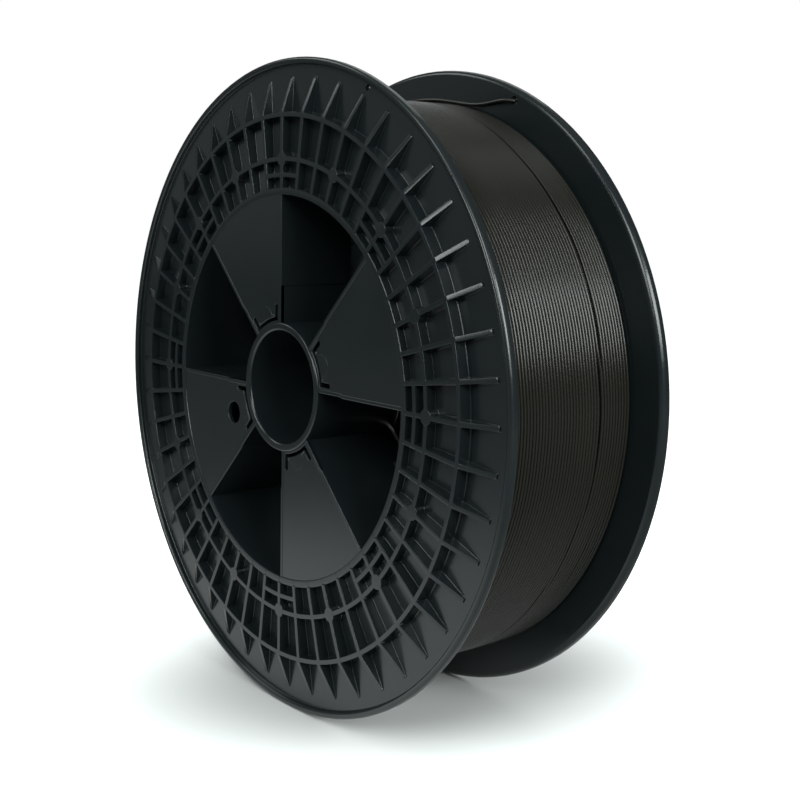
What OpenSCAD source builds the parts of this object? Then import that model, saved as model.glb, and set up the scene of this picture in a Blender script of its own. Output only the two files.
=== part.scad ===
// Large snap-together filament spool, wound with 1.75 mm filament.
// The spool's axis lies along Y. Its centre is the origin, +Z is up, and the
// front flange faces -Y. Two mouldings, each a ribbed flange with half of the
// drum and half of the hub, meet at mid-width. The rear one is turned end for
// end, so its four closed sectors stand behind the four open ones in front.

/* [Spool] */
// Outside diameter of the flanges
spool_d = 300; // [290:1:310]
// Width over the two hub faces, which is also the width over the ribs
overall_w = 98; // [94:0.5:104]
// Width between the inner faces of the flanges
winding_w = 80; // [74:0.5:82]
// Width over the front and rear beads of the rims
bead_w = 90.8; // [88:0.2:93]
// Outside diameter of the drum that the filament is wound on
drum_d = 182; // [170:1:188]

/* [Hub] */
// Diameter of the bore
bore_d = 52; // [50.5:0.1:54]
// Wall of the hub tube
hub_wall = 3.6; // [2.8:0.1:4]
// Rounding of the hub tube's mouth
hub_round = 0.9; // [0.4:0.1:1.2]
// Diameter of the drive hole in one closed sector
drive_hole_d = 10.5; // [9:0.1:12]
// Distance of the drive hole from the axis
drive_hole_reach = 44.5; // [43:0.1:47]

/* [Walls] */
// Thickness of the closed sectors' plates
plate_t = 2.2; // [1.6:0.1:3]
// Depth of the plates below the face of the hub
plate_recess = 0.7; // [0.4:0.1:1.2]
// Width of the raised rails along the closed sectors' edges
rail_t = 1.8; // [1.4:0.1:2.4]
// Thickness of the radial walls outside the step
wall_t = 1.6; // [1.2:0.1:2.2]
// Thickness of the drum's wall
drum_wall = 2.8; // [2:0.1:3.4]
// Width of the ring at the drum's mouth
mouth_ring_t = 3.4; // [2.8:0.1:4]
// Thickness of the flange at the rim
flange_t_rim = 2.7; // [2.2:0.1:3.2]
// Thickness of the flange at the drum
flange_t_drum = 5.2; // [4:0.1:6]

/* [Ribs] */
// Number of radial ribs
rib_count = 48; // [32:16:64]
// Thickness of the ribs and of the rings between them
rib_t = 2.2; // [1.4:0.1:2.4]
// Radius of the outer ring's middle
outer_ring_r = 124.2; // [120:0.2:128]
// Radius of the middle ring's middle
middle_ring_r = 104.2; // [102:0.2:108]
// Radius of the short rings' middle
short_ring_r = 97; // [95.5:0.1:98.5]
// Radius at which the gussets end
gusset_tip_r = 141.4; // [136:0.2:142.6]
// Height of a gusset's blunt tip above the flange
gusset_tip_h = 0.7; // [0.4:0.1:1.6]
// Number of ejector bosses on the middle ring
boss_count = 16; // [8:8:16]
// Diameter of the ejector bosses
boss_d = 6; // [4:0.2:7]

/* [Latches] */
// Half the angle that a snap arm takes round the hub
arm_half_angle = 10; // [7:0.5:12]
// Thickness of a snap arm
arm_t = 2.2; // [1.6:0.1:2.8]
// Clearance of a latched hook from its ledge
latch_gap = 0.3; // [0.2:0.05:0.6]
// Width of the slots that free a latch's tongue
slot_w = 1.5; // [1:0.1:2]

/* [Filament] */
// Diameter of the filament
filament_d = 1.75; // [1.7:0.01:1.8]
// Distance from one turn to the next
turn_pitch = 1.76; // [1.76:0.01:1.9]
// Diameter over the wound filament
winding_d = 268; // [240:1:272]
// Clearance of the winding from the drum and the flanges
winding_gap = 0.3; // [0.2:0.05:0.5]
// Distance from the axis to each flange's hole for the filament's end
end_hole_reach = 144.5; // [143.8:0.1:144.6]
// Diameter of the hole for the filament's end
end_hole_d = 3; // [2.8:0.1:3.2]
// Angle of the front flange's hole, above the +X side
front_hole_a = 67.2; // [62:0.2:73]
// Angle of the rear flange's hole, above the +X side
rear_hole_a = 66.3; // [66.1:0.1:66.5]

/* [Hidden] */
$fn = 96;
eps = 0.02;

// Heights are measured outwards from the plane where the two mouldings meet.
face_h = overall_w / 2;
inner_h = winding_w / 2;
bead_h = bead_w / 2;
seam_h = 0.05;
plate_top_h = face_h - plate_recess;
plate_low_h = plate_top_h - plate_t;
// The flange's outer face falls away from the drum to the rim
rim_floor_h = inner_h + flange_t_rim;
drum_floor_h = inner_h + flange_t_drum;
rib_low_h = inner_h + flange_t_rim / 2;

rim_r = spool_d / 2;
drum_r = drum_d / 2;
drum_in_r = drum_r - drum_wall;
mouth_in_r = drum_r + 0.4 - mouth_ring_t;
bore_r = bore_d / 2;
hub_r = bore_r + hub_wall;

// Rim bead
bead_round = 1.4;
bead_width = 3.2;
bead_foot_r = rim_r - bead_width - 0.5;
back_round = 2.7;

// Closed sectors, four of 45 degrees, with the rails just inside their edges
sector_a = 45;
sector_inset = 0.3;
inner_part_inset = 0.8;
wall_step_r = 46.5;
inner_wall_t = wall_t + 0.5;
window_h = 8.8;
tab_w = 1.6;
tab_h = 1.4;
tab_radii = [53.6, 65.2];

// Snap latches: the arm hangs from a tongue in the plate, beside the hub
slot_in_r = hub_r + 1.1;
arm_in_r = slot_in_r + slot_w + 0.6;
ledge_t = 2.1;
ledge_h = 2.4;
hook_h = 3.4;
hook_low_h = -(ledge_h + latch_gap + hook_h);
leg_inset = 4.2;
leg_out_r = hub_r + 9.2;
pin_mark_r = 4.2;
pin_mark_reach = slot_in_r + 0.8 + pin_mark_r;

// The winding
winding_r = winding_d / 2;
winding_in_r = drum_r + winding_gap;
turn_groove = 0.35;
turn_crest = 0.9;
turn_count = floor((winding_w - 2 * winding_gap) / turn_pitch);
winding_half_w = turn_count * turn_pitch / 2;
gap_groove_y = 20.4;
gap_groove_w = 1.2;
gap_groove_depth = filament_d;

// The filament's free end: from the last turn, over the winding's rear edge,
// to its hole in the rear rim
tail_points = [
    [-44.0, 37.6, 127.6], [-37.0, 37.8, 130.0], [-30.0, 38.0, 132.2],
    [-23.0, 38.0, 134.0], [-16.0, 38.0, 135.3], [-9.0, 38.0, 135.8],
    [-2.0, 38.0, 135.8], [5.0, 38.1, 135.4], [12.0, 38.2, 134.6],
    [19.0, 38.3, 133.6], [25.5, 38.4, 132.6], [31.5, 38.5, 131.9],
    [37.5, 38.6, 131.7], [43.5, 38.6, 132.1], [49.0, 38.6, 132.6],
    [52.6, 38.6, 132.75], [55.4, 38.85, 132.6], [57.2, 39.5, 132.45],
    [58.0, 40.6, 132.35], [58.15, 41.8, 132.3]];
tail_sides = 8;
tail_steps = 2;

plastic = "#23292b";
filament_colour = "#3a372f";

// A point of a circle round c in the drawing plane
function on_circle(c, r, a) = [c[0] + r * cos(a), c[1] + r * sin(a)];
// The points of an arc from angle a0 to a1, in n steps
function arc(c, r, a0, a1, n = 6) = [for (i = [0:n]) on_circle(c, r, a0 + (a1 - a0) * i / n)];
// Height of the flange's outer face at radius r
function floor_h(r) = drum_floor_h
    + (rim_floor_h - drum_floor_h) * (r - drum_r) / (bead_foot_r - drum_r);

// ---- plain helpers -------------------------------------------------------

// A tube round the local Z axis
module tube(r_in, r_out, low, high) {
    translate([0, 0, low])
        difference() {
            cylinder(r = r_out, h = high - low);
            translate([0, 0, -1]) cylinder(r = r_in, h = high - low + 2);
        }
}

// A prism over a 45 degree wedge that starts at angle a, its sides moved in
module wedge(a, inset, low, high) {
    reach = 1.3 * rim_r;
    apex = inset / sin(sector_a / 2);
    rotate([0, 0, a + sector_a / 2])
        translate([apex, 0, low])
            linear_extrude(high - low)
                polygon([[0, 0],
                    [reach * cos(sector_a / 2), -reach * sin(sector_a / 2)],
                    [reach * cos(sector_a / 2), reach * sin(sector_a / 2)]]);
}

// Repeats its children at the four closed sectors
module each_closed_sector() {
    for (k = [0:3]) rotate([0, 0, 90 * k]) children();
}

// ---- the flange ----------------------------------------------------------

// Disc with a conical outer face and a rounded bead round the rim
module flange_disc() {
    bead_c = [rim_r - bead_round, bead_h - bead_round];
    rotate_extrude($fn = 180)
        polygon(concat(
            [[drum_r - drum_wall / 2, inner_h]],
            arc([rim_r - back_round, inner_h + back_round], back_round, -90, 0),
            arc(bead_c, bead_round, 0, 90),
            arc([bead_c[0] - (bead_width - 2 * bead_round), bead_c[1]], bead_round, 90, 180),
            [[rim_r - bead_width, rim_floor_h + 0.6], [bead_foot_r, floor_h(bead_foot_r)],
             [drum_r - drum_wall / 2, floor_h(drum_r - drum_wall / 2)]]));
}

// The straight-sided gaps between the radial ribs
module between_ribs(low, high) {
    step = 360 / rib_count;
    apex = rib_t / 2 / sin(step / 2);
    reach = rim_r;
    for (k = [0:rib_count - 1])
        rotate([0, 0, step * (k + 0.5)])
            translate([apex, 0, low])
                linear_extrude(high - low)
                    polygon([[0, 0],
                        [reach * cos(step / 2), -reach * sin(step / 2)],
                        [reach * cos(step / 2), reach * sin(step / 2)]]);
}

// The short rings, each over two cells at every half sector
module short_rings() {
    step = 360 / rib_count;
    for (k = [0:7])
        rotate([0, 0, sector_a * k - step])
            rotate_extrude(angle = 2 * step)
                translate([short_ring_r - rib_t / 2, rib_low_h - 1])
                    square([rib_t, face_h - rib_low_h + 2]);
}

// Ribs and rings as one lattice, opened by its cells
module rib_lattice() {
    low = rib_low_h - 1;
    high = face_h + 1;
    difference() {
        tube(mouth_in_r + mouth_ring_t / 2, outer_ring_r + rib_t / 2 + 0.2, rib_low_h, face_h);
        intersection() {
            tube(middle_ring_r + rib_t / 2 + 0.1, outer_ring_r - rib_t / 2, low, high);
            between_ribs(low - 1, high + 1);
        }
        difference() {
            intersection() {
                tube(mouth_in_r + mouth_ring_t, middle_ring_r - rib_t / 2 - 0.1, low, high);
                between_ribs(low - 1, high + 1);
            }
            short_rings();
        }
    }
}

// Ejector bosses at the crossings of the middle ring
module bosses() {
    for (k = [0:boss_count - 1])
        rotate([0, 0, 360 / boss_count * k])
            translate([middle_ring_r, 0, rib_low_h])
                cylinder(d = boss_d, h = face_h - rib_low_h, $fn = 24);
}

// Tapered gussets that run from the outer ring towards the rim
module gussets() {
    start_r = outer_ring_r;
    knee_r = outer_ring_r + rib_t / 2 + 0.6;
    tip_h = floor_h(gusset_tip_r) + gusset_tip_h;
    for (k = [0:rib_count - 1])
        rotate([0, 0, 360 / rib_count * k])
            rotate([90, 0, 0])
                linear_extrude(rib_t, center = true)
                    polygon([[start_r, rib_low_h], [gusset_tip_r, rib_low_h],
                        [gusset_tip_r, tip_h], [knee_r, face_h], [start_r, face_h]]);
}

// ---- hub and drum --------------------------------------------------------

// Hub tube with a rounded mouth
module hub_tube() {
    rotate_extrude($fn = 96)
        polygon(concat(
            [[bore_r, seam_h], [hub_r, seam_h]],
            arc([hub_r - hub_round, face_h - hub_round], hub_round, 0, 90, 4),
            arc([bore_r + hub_round, face_h - hub_round], hub_round, 90, 180, 4)));
}

// Drum wall with the ring at its mouth
module drum_tube() {
    ring_low_h = drum_floor_h - 0.5;
    rotate_extrude($fn = 180)
        polygon([[drum_in_r, seam_h], [drum_r, seam_h], [drum_r, inner_h + 1],
            [mouth_in_r + mouth_ring_t, inner_h + 1], [mouth_in_r + mouth_ring_t, face_h],
            [mouth_in_r, face_h], [mouth_in_r, ring_low_h], [drum_in_r, ring_low_h - 2]]);
}

// ---- closed sectors ------------------------------------------------------

// The two rails and walls of one closed sector, as the border of its wedge
module sector_border(inset, t, r_in, r_out, low, high) {
    intersection() {
        tube(r_in, r_out, low, high);
        difference() {
            wedge(0, inset, low - 1, high + 1);
            wedge(0, inset + t, low - 2, high + 2);
        }
    }
}

// Plate, rails and radial walls of one closed sector
module closed_sector() {
    seat_r = hub_r - hub_wall / 2;
    seat_out_r = mouth_in_r + mouth_ring_t / 3;
    intersection() {
        tube(seat_r, seat_out_r, plate_low_h, plate_top_h);
        wedge(0, inner_part_inset, plate_low_h - 1, plate_top_h + 1);
    }
    sector_border(sector_inset, rail_t, wall_step_r, seat_out_r, plate_low_h - 1, face_h);
    sector_border(inner_part_inset, rail_t, seat_r, wall_step_r + 0.5, plate_low_h - 1, face_h);
    // Outside the step the walls stop short and leave a window at mid-width
    sector_border(sector_inset, wall_t, wall_step_r, drum_in_r + drum_wall / 2,
        window_h, plate_top_h - plate_t / 2);
    // Inside it they reach the other moulding
    sector_border(inner_part_inset, inner_wall_t, seat_r, wall_step_r + 0.5,
        seam_h, plate_top_h - plate_t / 2);
    // Two short tabs on the end of each wall
    for (r = tab_radii)
        sector_border(sector_inset + 0.2, wall_t - 0.4, r - tab_w / 2, r + tab_w / 2,
            window_h - tab_h, window_h + 1);
}

// One of the two slots beside a latch's tongue, parallel to the sector's edge
module latch_leg(side) {
    leg_low = plate_low_h - 2;
    intersection() {
        tube(slot_in_r, leg_out_r, leg_low, face_h + 1);
        rotate([0, 0, side * sector_a / 2])
            translate([0, -side * leg_inset - slot_w / 2, leg_low - 1])
                cube([rim_r / 2, slot_w, face_h - leg_low + 3]);
    }
}

// The slots that free a tongue from the plate: a curved one with a wavy edge,
// cut back by the round mark of an ejector pin, and two straight legs
module latch_window() {
    low = plate_low_h - 1;
    slot_half_a = sector_a / 2 - asin(leg_inset / (slot_in_r + slot_w / 2));
    rotate([0, 0, sector_a / 2]) {
        difference() {
            rotate([0, 0, -slot_half_a])
                rotate_extrude(angle = 2 * slot_half_a)
                    translate([slot_in_r, low])
                        square([slot_w, face_h - low + 1]);
            translate([pin_mark_reach, 0, low - 1])
                cylinder(r = pin_mark_r, h = face_h - low + 3, $fn = 48);
        }
        latch_leg(1);
        latch_leg(-1);
    }
}

// Snap arm with its hook, hanging from the tongue past the seam
module snap_arm() {
    rotate([0, 0, sector_a / 2 - arm_half_angle])
        rotate_extrude(angle = 2 * arm_half_angle, $fn = 96)
            polygon([[arm_in_r, plate_low_h + plate_t / 2], [arm_in_r, hook_low_h + hook_h],
                [hub_r + 0.5, hook_low_h + hook_h], [hub_r + 0.5, hook_low_h + hook_h - 1],
                [arm_in_r, hook_low_h], [arm_in_r + arm_t, hook_low_h],
                [arm_in_r + arm_t, plate_low_h + plate_t / 2]]);
}

// Ledge on the hub of an open sector, which the other moulding's hook takes
module snap_ledge() {
    ledge_half_a = arm_half_angle - 1;
    rotate([0, 0, -sector_a / 2 - ledge_half_a])
        rotate_extrude(angle = 2 * ledge_half_a, $fn = 96)
            translate([hub_r - 1, seam_h + 0.2])
                square([ledge_t + 1, ledge_h - 0.2]);
}

// ---- the moulding --------------------------------------------------------

// One moulding, its outer face up. end_hole_a is the angle of the hole for
// the filament's end, which differs between the front and the rear one.
module half_spool(end_hole_a) {
    difference() {
        union() {
            flange_disc();
            rib_lattice();
            bosses();
            gussets();
            hub_tube();
            drum_tube();
            each_closed_sector() {
                closed_sector();
            }
        }
        each_closed_sector() latch_window();
        rotate([0, 0, 180 + sector_a / 2])
            translate([drive_hole_reach, 0, plate_low_h - 2])
                cylinder(d = drive_hole_d, h = plate_t + 5, $fn = 48);
        rotate([0, 0, end_hole_a])
            translate([end_hole_reach, 0, inner_h - 1])
                cylinder(d = end_hole_d, h = face_h - inner_h + 2, $fn = 24);
    }
    each_closed_sector() {
        snap_arm();
        snap_ledge();
    }
}

module front_half() {
    color(plastic) rotate([90, 0, 0]) half_spool(front_hole_a);
}

module rear_half() {
    color(plastic) rotate([0, 0, 180]) rotate([90, 0, 0]) half_spool(180 - rear_hole_a);
}

// ---- the filament --------------------------------------------------------

// The wound filament: a ring whose outside shows each turn of the top layer
module filament_winding() {
    edge = (turn_pitch - turn_crest) / 2;
    crests = [for (k = [0:turn_count - 1])
        let (y0 = -winding_half_w + k * turn_pitch)
        each [[winding_r - turn_groove, y0], [winding_r, y0 + edge],
            [winding_r, y0 + turn_pitch - edge]]];
    color(filament_colour)
        rotate([90, 0, 0])
            difference() {
                rotate_extrude($fn = 180)
                    polygon(concat([[winding_in_r, -winding_half_w]], crests,
                        [[winding_r - turn_groove, winding_half_w],
                         [winding_in_r, winding_half_w]]));
                // The groove where two blocks of turns part
                tube(winding_r - gap_groove_depth, winding_r + 1,
                    -gap_groove_y - gap_groove_w / 2, -gap_groove_y + gap_groove_w / 2);
            }
}

// A point of the smooth curve through four points, at u from 0 to 1
function spline(a, b, c, d, u) = 0.5 * (2 * b + (c - a) * u
    + (2 * a - 5 * b + 4 * c - d) * u * u + (3 * b - a - 3 * c + d) * u * u * u);
function unit(v) = v / norm(v);

// The filament's free end, swept along its route
module filament_tail() {
    last = len(tail_points) - 1;
    path = [for (i = [0:last - 1], s = [0:tail_steps - 1])
        spline(tail_points[max(i - 1, 0)], tail_points[i], tail_points[i + 1],
            tail_points[min(i + 2, last)], s / tail_steps),
        tail_points[last]];
    rings = len(path);
    along = [for (i = [0:rings - 1]) unit(path[min(i + 1, rings - 1)] - path[max(i - 1, 0)])];
    // Each ring's first side looks away from the spool's axis
    outward = [for (i = [0:rings - 1])
        unit(cross(cross(along[i], [path[i][0], 0, path[i][2]]), along[i]))];
    points = [for (i = [0:rings - 1], s = [0:tail_sides - 1])
        let (a = 360 * s / tail_sides)
        path[i] + filament_d / 2 * (cos(a) * outward[i]
            + sin(a) * cross(along[i], outward[i]))];
    sides = [for (i = [0:rings - 2], s = [0:tail_sides - 1])
        let (n = (s + 1) % tail_sides, b = i * tail_sides)
        [b + s, b + tail_sides + s, b + tail_sides + n, b + n]];
    ends = [[for (s = [0:tail_sides - 1]) s],
        [for (s = [tail_sides - 1:-1:0]) (rings - 1) * tail_sides + s]];
    color(filament_colour) polyhedron(points, concat(sides, ends));
}

front_half();
rear_half();
filament_winding();
filament_tail();
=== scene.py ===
"""Dressed model of a large snap-together filament spool with its filament.

Lengths are in millimetres until a mesh is made, and each moulding is built in its own
frame: x and y in the plane of the flange, h outwards from the plane where the two
mouldings meet. The scene itself is in metres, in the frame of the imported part.
"""

import logging
import math
from dataclasses import dataclass, field
from enum import Enum

import bmesh
import bpy
import numpy as np
from bpy.types import Material, Node, NodeSocket, NodeTree, Object
from mathutils import Matrix, Vector
from mathutils.geometry import tessellate_polygon


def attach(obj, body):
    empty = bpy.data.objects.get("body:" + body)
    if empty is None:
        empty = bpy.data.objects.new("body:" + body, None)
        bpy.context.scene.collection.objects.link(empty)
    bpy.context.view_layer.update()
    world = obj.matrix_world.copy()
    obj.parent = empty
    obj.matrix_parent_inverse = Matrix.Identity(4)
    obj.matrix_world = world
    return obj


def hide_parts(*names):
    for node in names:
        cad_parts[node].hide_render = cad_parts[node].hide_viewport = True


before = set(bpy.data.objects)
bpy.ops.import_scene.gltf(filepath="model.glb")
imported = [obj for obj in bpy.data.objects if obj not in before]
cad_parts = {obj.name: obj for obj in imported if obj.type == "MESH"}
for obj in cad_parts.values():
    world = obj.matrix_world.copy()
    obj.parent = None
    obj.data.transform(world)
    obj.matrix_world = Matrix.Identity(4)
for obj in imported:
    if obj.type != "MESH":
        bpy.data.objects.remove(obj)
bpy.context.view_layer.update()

log = logging.getLogger("spool")
MM = 0.001
NO_AREA = 1e-9
BEND = tuple(math.radians(a) for a in (0, 30, 60, 90))  # steps round an edge or a fillet
Pair = tuple[float, float]
Triple = tuple[float, float, float]


# ---- small helpers ----


def linear(hex_colour: str) -> tuple[float, float, float, float]:
    """Turns an sRGB hex colour into Blender's linear colour.

    Args:
        hex_colour: Six hex digits after a hash sign.

    Returns:
        Red, green, blue and alpha.
    """
    parts = [int(hex_colour[i : i + 2], 16) / 255 for i in (1, 3, 5)]
    curved = [c / 12.92 if c <= 0.04045 else ((c + 0.055) / 1.055) ** 2.4 for c in parts]
    return (*curved, 1.0)


def add_node(
    tree: NodeTree,
    kind: str,
    settings: dict | None = None,
    values: dict | None = None,
    links: dict | None = None,
) -> Node:
    """Adds a shader node, sets it up and links its inputs.

    Args:
        tree: The node tree.
        kind: The node's type name.
        settings: Properties of the node.
        values: Input values by socket name or number.
        links: Output sockets to link, by input name or number.

    Returns:
        The node.
    """
    made = tree.nodes.new(kind)
    for name, value in (settings or {}).items():
        setattr(made, name, value)
    for name, value in (values or {}).items():
        made.inputs[name].default_value = value
    for name, socket in (links or {}).items():
        tree.links.new(socket, made.inputs[name])
    return made


def arc(centre: Pair, radius: float, start: float, end: float, steps: int) -> list[Pair]:
    """Gives the points of an arc.

    Args:
        centre: The arc's centre.
        radius: Its radius.
        start: First angle in degrees.
        end: Last angle in degrees.
        steps: Number of steps between them.

    Returns:
        The points, both ends among them.
    """
    angles = [math.radians(start + (end - start) * i / steps) for i in range(steps + 1)]
    return [(centre[0] + radius * math.cos(a), centre[1] + radius * math.sin(a)) for a in angles]


# ---- shells ----


@dataclass
class Shell:
    """A closed surface, its points in millimetres."""

    points: np.ndarray
    faces: list

    def turned(self, degrees: float) -> "Shell":
        """Gives the shell turned about the local h axis.

        Args:
            degrees: How far to turn it.

        Returns:
            The turned shell.
        """
        a = math.radians(degrees)
        turn = np.array([[math.cos(a), math.sin(a), 0], [-math.sin(a), math.cos(a), 0], [0, 0, 1]])
        return Shell(self.points @ turn, self.faces)

    def mirrored(self, degrees: float) -> "Shell":
        """Gives the shell mirrored in the line at this angle through the axis.

        Args:
            degrees: The line's angle from the x axis.

        Returns:
            The mirrored shell.
        """
        a = math.radians(2 * degrees)
        flip = np.array([[math.cos(a), math.sin(a), 0], [math.sin(a), -math.cos(a), 0], [0, 0, 1]])
        return Shell(self.points @ flip, [tuple(reversed(f)) for f in self.faces])


def grid_faces(rows: int, columns: int, rows_closed: bool) -> list:
    """Gives the quads of a grid whose columns run round in a circle.

    Args:
        rows: Number of rows.
        columns: Number of columns.
        rows_closed: Whether the last row joins the first.

    Returns:
        Quads of point numbers, row by row.
    """
    last = rows if rows_closed else rows - 1
    i, j = np.meshgrid(np.arange(last), np.arange(columns), indexing="ij")
    below, beside = (i + 1) % rows, (j + 1) % columns
    corners = (i * columns + j, below * columns + j, below * columns + beside, i * columns + beside)
    return np.stack(corners, -1).reshape(-1, 4).tolist()


def lathe(profile: list, segments: int) -> Shell:
    """Turns a closed profile round the h axis.

    Args:
        profile: Points (r, h), outwards along the top first.
        segments: Number of steps round.

    Returns:
        The shell.
    """
    r, h = np.array(profile, float).T
    a = np.arange(segments) * 2 * math.pi / segments
    points = np.stack(
        [np.outer(r, np.cos(a)), np.outer(r, np.sin(a)), np.repeat(h[:, None], segments, 1)], -1
    )
    return Shell(points.reshape(-1, 3), grid_faces(len(r), segments, True))


def cap(loops: list[np.ndarray]) -> list:
    """Fills flat loops with triangles.

    Args:
        loops: Outline first, then holes, each an array of (x, y).

    Returns:
        Triangles of point numbers, counter-clockwise.
    """
    flat = np.concatenate(loops)
    made = tessellate_polygon([[Vector((*p, 0)) for p in loop] for loop in loops])
    faces = []
    for a, b, c in made:
        u, v = flat[b] - flat[a], flat[c] - flat[a]
        turn = u[0] * v[1] - u[1] * v[0]
        if abs(turn) > NO_AREA:
            faces.append((a, b, c) if turn > 0 else (a, c, b))
    return faces


def moved_in(loop: np.ndarray, by: float) -> np.ndarray:
    """Moves a counter-clockwise loop inwards, keeping its corners.

    Args:
        loop: The loop's points.
        by: How far to move its sides.

    Returns:
        The new loop.
    """
    after = np.roll(loop, -1, 0) - loop
    after /= np.linalg.norm(after, axis=1)[:, None]
    before = np.roll(after, 1, 0)
    inward = np.stack([-(after + before)[:, 1], (after + before)[:, 0]], 1)
    length = np.linalg.norm(inward, axis=1)[:, None]
    inward /= np.maximum(length, 1e-6)
    return loop + inward * by / np.maximum(length / 2, 0.5)


def prism(outline: list, low: float, high: float, edge: float, holes: list | None = None) -> Shell:
    """Makes a plate with rounded edges over a flat outline.

    Args:
        outline: Counter-clockwise points (x, y).
        low: Height of its bottom.
        high: Height of its top.
        edge: Radius of its edges.
        holes: Counter-clockwise outlines of openings.

    Returns:
        The shell.
    """
    loops = [np.array(outline, float)]
    loops += [np.array(hole, float)[::-1] for hole in holes or []]
    levels = [(edge * (1 - math.sin(a)), high - edge * (1 - math.cos(a))) for a in BEND]
    levels += [(inset, low + high - h) for inset, h in reversed(levels)]
    points, faces, top, bottom, start = [], [], [], [], 0
    for loop in loops:
        size = len(loop)
        points += [np.column_stack([moved_in(loop, by), np.full(size, h)]) for by, h in levels]
        side = grid_faces(len(levels), size, False)
        faces += [tuple(start + n for n in face) for face in side]
        top += range(start, start + size)
        start += len(levels) * size
        bottom += range(start - size, start)
    flat = cap([moved_in(loop, edge) for loop in loops])
    faces += [tuple(top[n] for n in face) for face in flat]
    faces += [tuple(bottom[n] for n in reversed(face)) for face in flat]
    return Shell(np.concatenate(points), faces)


def arc_sweep(profile: list, start: float, end: float, steps: int) -> Shell:
    """Turns a closed profile through part of a circle and closes its two ends.

    Args:
        profile: Points (r, h), outwards along the top first.
        start: First angle in degrees.
        end: Last angle in degrees.
        steps: Number of steps.

    Returns:
        The shell.
    """
    r, h = np.array(profile, float).T
    a = np.radians(np.linspace(start, end, steps + 1))
    heights = np.tile(h, (steps + 1, 1))
    points = np.stack([np.outer(np.cos(a), r), np.outer(np.sin(a), r), heights], -1)
    faces = [(f[0], f[3], f[2], f[1]) for f in grid_faces(steps + 1, len(r), False)]
    ends = cap([np.column_stack([r, h])])
    faces += ends + [tuple(steps * len(r) + n for n in reversed(face)) for face in ends]
    return Shell(points.reshape(-1, 3), faces)


def tube_along(path: np.ndarray, radius: float, sides: int, axis_of_sides: np.ndarray) -> Shell:
    """Sweeps a round section along a path.

    Args:
        path: Points of the centre line.
        radius: Radius of the section.
        sides: Number of its sides.
        axis_of_sides: For each point, a direction square to the path.

    Returns:
        The shell, closed at both ends.
    """
    along = np.gradient(path, axis=0)
    along /= np.linalg.norm(along, axis=1)[:, None]
    u = axis_of_sides - along * np.sum(axis_of_sides * along, 1)[:, None]
    u /= np.linalg.norm(u, axis=1)[:, None]
    v = np.cross(along, u)
    a = (np.arange(sides) * 2 * math.pi / sides)[:, None]
    points = path[:, None] + radius * (np.cos(a) * u[:, None] + np.sin(a) * v[:, None])
    faces = [face[::-1] for face in grid_faces(len(path), sides, False)]
    last = (len(path) - 1) * sides
    faces += [tuple(range(sides))[::-1], tuple(last + n for n in range(sides))]
    return Shell(points.reshape(-1, 3), faces)


class Side(Enum):
    """The two mouldings, with how each one's own frame lies in the part's."""

    FRONT = ((1, 0, 0), (0, 0, -1), (0, 1, 0))
    REAR = ((-1, 0, 0), (0, 0, 1), (0, 1, 0))


def make_object(name: str, shells: list[Shell], turn: np.ndarray, sharp: float) -> Object:
    """Joins shells into one mesh object in metres.

    Args:
        name: The object's name.
        shells: The shells.
        turn: Rows of the rotation from the shells' frame to the part's.
        sharp: Angle in degrees above which an edge stays sharp.

    Returns:
        The object, linked into the scene.
    """
    points, faces, start = [], [], 0
    for shell in shells:
        points.append(shell.points)
        faces += [tuple(start + n for n in face) for face in shell.faces]
        start += len(shell.points)
    placed = (np.concatenate(points) @ np.array(turn, float).T) * MM
    mesh = bpy.data.meshes.new(name)
    mesh.from_pydata(placed.tolist(), [], faces)
    work = bmesh.new()
    work.from_mesh(mesh)
    bmesh.ops.delete(work, geom=[v for v in work.verts if not v.link_faces], context="VERTS")
    bmesh.ops.recalc_face_normals(work, faces=work.faces)
    work.to_mesh(mesh)
    work.free()
    mesh.polygons.foreach_set("use_smooth", [True] * len(mesh.polygons))
    mesh.set_sharp_from_angle(angle=math.radians(sharp))
    made = bpy.data.objects.new(name, mesh)
    bpy.context.scene.collection.objects.link(made)
    # Flat faces stay flat beside their rounded edges
    weighted = made.modifiers.new("weighted_normals", "WEIGHTED_NORMAL")
    weighted.keep_sharp = True
    return made


# ---- finishes ----


@dataclass(frozen=True)
class Plastic:
    """A plastic coloured in the mass, with soft patches of another tone and gloss."""

    name: str
    colour: str
    patch_colour: str
    roughness: float
    gloss_change: Pair
    ior: float
    patch_mm: float
    patch_detail: float
    patch_fineness: float = 0.5
    patch_stretch: Triple = (1.0, 1.0, 1.0)

    def build(self) -> Material:
        """Makes the material.

        Returns:
            The material.
        """
        material = bpy.data.materials.new(self.name)
        material.use_nodes = True
        tree = material.node_tree
        shader = tree.nodes["Principled BSDF"]
        shader.inputs["IOR"].default_value = self.ior
        where = add_node(tree, "ShaderNodeTexCoord").outputs["Object"]
        stretch = {"Scale": self.patch_stretch}
        placed = add_node(tree, "ShaderNodeMapping", values=stretch, links={"Vector": where})
        form = {
            "Scale": 1 / (self.patch_mm * MM),
            "Detail": self.patch_detail,
            "Roughness": self.patch_fineness,
        }
        at = {"Vector": placed.outputs[0]}
        patch = {0: add_node(tree, "ShaderNodeTexNoise", values=form, links=at).outputs[0]}
        tones = {6: linear(self.colour), 7: linear(self.patch_colour)}
        tone = add_node(tree, "ShaderNodeMix", {"data_type": "RGBA"}, tones, patch)
        tree.links.new(tone.outputs[2], shader.inputs["Base Color"])
        low, high = (self.roughness + change for change in self.gloss_change)
        gloss = add_node(tree, "ShaderNodeMapRange", values={3: low, 4: high}, links=patch)
        tree.links.new(gloss.outputs[0], shader.inputs["Roughness"])
        return material


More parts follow.
